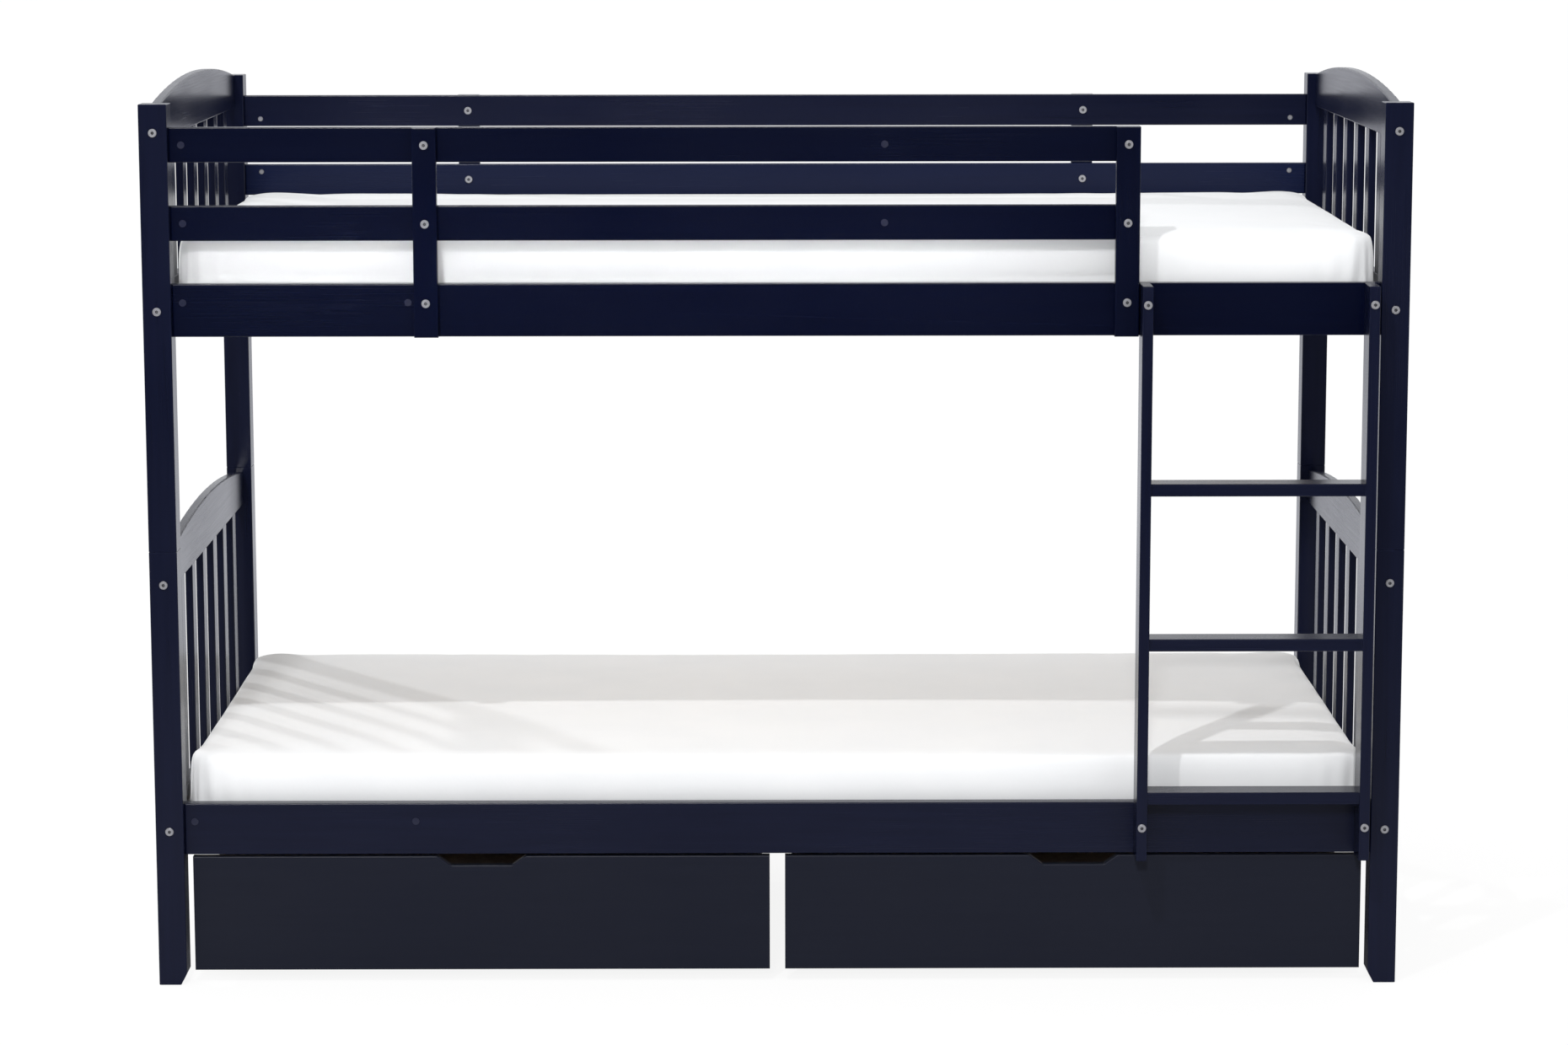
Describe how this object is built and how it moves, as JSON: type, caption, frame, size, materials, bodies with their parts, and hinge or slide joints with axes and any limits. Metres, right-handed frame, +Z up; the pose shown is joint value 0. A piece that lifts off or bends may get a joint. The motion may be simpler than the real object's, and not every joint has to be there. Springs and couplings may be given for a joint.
{
  "type": "bunk bed",
  "caption": "Bunk bed for two single mattresses, with arched end panels, guard rails, a bolted ladder and roll-out drawers.",
  "frame": {"origin": "on the floor, under the middle of the bed's bounding box", "axes": "+X along the bed, towards the ladder; +Y from the front to the back; +Z up"},
  "size_m": [2.105, 1.047, 1.5229],
  "materials": {
    "painted_wood": "satin navy lacquer on solid pine",
    "painted_board": "satin dark navy paint on board",
    "bare_pine": "planed, unpainted pine",
    "hardboard": "smooth brown hardboard",
    "steel": "bright zinc plated",
    "dark_plastic": "navy plastic caps",
    "caster_plastic": "dark grey moulded",
    "white_cotton": "white fitted cotton cover"
  },
  "bodies": {
    "bed_frame": {"lower_post_front_left": "painted_wood", "lower_post_front_right": "painted_wood", "lower_post_back_left": "painted_wood", "lower_post_back_right": "painted_wood", "upper_post_front_left": "painted_wood", "upper_post_front_right": "painted_wood", "upper_post_back_left": "painted_wood", "upper_post_back_right": "painted_wood", "lower_arched_rail_left": "painted_wood", "lower_arched_rail_right": "painted_wood", "upper_arched_rail_left": "painted_wood", "upper_arched_rail_right": "painted_wood", "lower_cross_rail_left": "painted_wood", "lower_cross_rail_right": "painted_wood", "upper_cross_rail_left": "painted_wood", "upper_cross_rail_right": "painted_wood", "lower_spindles": "painted_wood", "upper_spindles": "painted_wood", "lower_side_rail_front": "painted_wood", "lower_side_rail_back": "painted_wood", "upper_side_rail_front": "painted_wood", "upper_side_rail_back": "painted_wood", "low_guard_rail_front": "painted_wood", "low_guard_rail_back": "painted_wood", "top_guard_rail_front": "painted_wood", "top_guard_rail_back": "painted_wood", "front_upright_left": "painted_wood", "front_upright_right": "painted_wood", "back_uprights": "painted_wood", "ladder_stile_left": "painted_wood", "ladder_stile_right": "painted_wood", "ladder_rungs": "painted_wood", "lower_ledgers": "painted_wood", "upper_ledgers": "painted_wood", "lower_slats": "bare_pine", "upper_slats": "bare_pine", "connector_bolts": "steel", "cross_dowels": "steel", "sleeve_nuts": "steel", "joining_pins": "steel", "slat_screws": "steel", "hole_plugs": "dark_plastic"},
    "left_drawer": {"left_drawer_front": "painted_board", "left_drawer_sides": "painted_board", "left_drawer_back": "painted_board", "left_drawer_bottom": "hardboard", "left_drawer_caster_brackets": "steel", "left_drawer_axles": "steel"},
    "left_front_wheels": {"left_drawer_front_wheels": "caster_plastic"},
    "left_rear_wheels": {"left_drawer_rear_wheels": "caster_plastic"},
    "right_drawer": {"right_drawer_front": "painted_board", "right_drawer_sides": "painted_board", "right_drawer_back": "painted_board", "right_drawer_bottom": "hardboard", "right_drawer_caster_brackets": "steel", "right_drawer_axles": "steel"},
    "right_front_wheels": {"right_drawer_front_wheels": "caster_plastic"},
    "right_rear_wheels": {"right_drawer_rear_wheels": "caster_plastic"},
    "lower_mattress_body": {"lower_mattress": "white_cotton"},
    "upper_mattress_body": {"upper_mattress": "white_cotton"}
  },
  "joints": [
    {"name": "left_drawer_slide", "type": "slide", "parent": "bed_frame", "child": "left_drawer", "axis": [0, -1, 0], "range_m": [0, 0.7]},
    {"name": "left_front_wheels_roll", "type": "hinge", "parent": "left_drawer", "child": "left_front_wheels", "pos_m": [-0.502, -0.375, 0.02], "axis": [1, 0, 0], "continuous": true},
    {"name": "left_rear_wheels_roll", "type": "hinge", "parent": "left_drawer", "child": "left_rear_wheels", "pos_m": [-0.502, 0.235, 0.02], "axis": [1, 0, 0], "continuous": true},
    {"name": "right_drawer_slide", "type": "slide", "parent": "bed_frame", "child": "right_drawer", "axis": [0, -1, 0], "range_m": [0, 0.7]},
    {"name": "right_front_wheels_roll", "type": "hinge", "parent": "right_drawer", "child": "right_front_wheels", "pos_m": [0.502, -0.375, 0.02], "axis": [1, 0, 0], "continuous": true},
    {"name": "right_rear_wheels_roll", "type": "hinge", "parent": "right_drawer", "child": "right_rear_wheels", "pos_m": [0.502, 0.235, 0.02], "axis": [1, 0, 0], "continuous": true},
    {"name": "lower_mattress_lift", "type": "slide", "parent": "bed_frame", "child": "lower_mattress_body", "axis": [0, 0, 1], "range_m": [0, 0.3]},
    {"name": "upper_mattress_lift", "type": "slide", "parent": "bed_frame", "child": "upper_mattress_body", "axis": [0, 0, 1], "range_m": [0, 0.4]}
  ],
  "couplings": [
    {"joint": "left_front_wheels_roll", "follows": "left_drawer_slide", "rad_per_m": 50},
    {"joint": "left_rear_wheels_roll", "follows": "left_drawer_slide", "rad_per_m": 50},
    {"joint": "right_front_wheels_roll", "follows": "right_drawer_slide", "rad_per_m": 50},
    {"joint": "right_rear_wheels_roll", "follows": "right_drawer_slide", "rad_per_m": 50}
  ]
}
